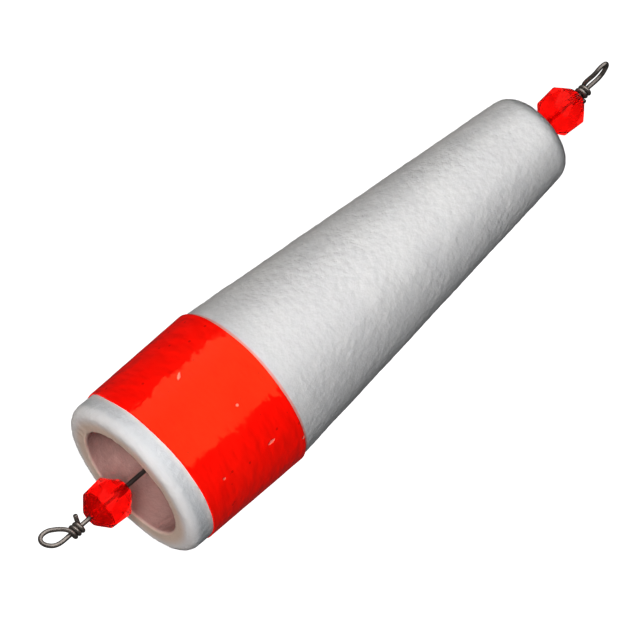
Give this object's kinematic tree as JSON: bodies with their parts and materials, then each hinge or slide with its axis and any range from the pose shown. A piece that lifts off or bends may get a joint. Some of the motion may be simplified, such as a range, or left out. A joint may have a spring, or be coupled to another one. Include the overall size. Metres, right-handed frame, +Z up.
{
  "type": "fishing float",
  "caption": "Tapered foam fishing float with a cupped painted mouth, sliding on a wire with a wrapped eye at each end and faceted stop beads.",
  "frame": {"origin": "seat of the line eye: the inside of its crown on the eye's own centre line, where a knot or snap pulls", "axes": "+Z up along the wire, from the narrow end towards the line; +X is the side the line eye leans to, so the wire's own axis stands at x = -2.31 mm, y = 0"},
  "size_m": [0.0306, 0.0306, 0.1299],
  "materials": {
    "foam": "matte",
    "red_paint": "gloss",
    "liner": "satin",
    "wire": "satin",
    "bead": "gloss"
  },
  "bodies": {
    "wire": {"through_wire": "wire"},
    "liner": {"liner_tube": "liner"},
    "float": {"foam_body": "foam", "paint_band": "red_paint"},
    "line_bead": {"line_bead": "bead"},
    "leader_bead": {"leader_bead": "bead"}
  },
  "joints": [
    {"name": "float_slide", "type": "slide", "parent": "wire", "child": "liner", "axis": [0, 0, 1], "range_m": [0, 0.0166]},
    {"name": "float_spin", "type": "hinge", "parent": "liner", "child": "float", "pos_m": [-0.00231, 0, -0.0671], "axis": [0, 0, 1], "continuous": true},
    {"name": "line_bead_spin", "type": "hinge", "parent": "wire", "child": "line_bead", "pos_m": [-0.00231, 0, -0.01226], "axis": [0, 0, 1], "continuous": true},
    {"name": "leader_bead_spin", "type": "hinge", "parent": "wire", "child": "leader_bead", "pos_m": [-0.00231, 0, -0.11764], "axis": [0, 0, 1], "continuous": true}
  ]
}
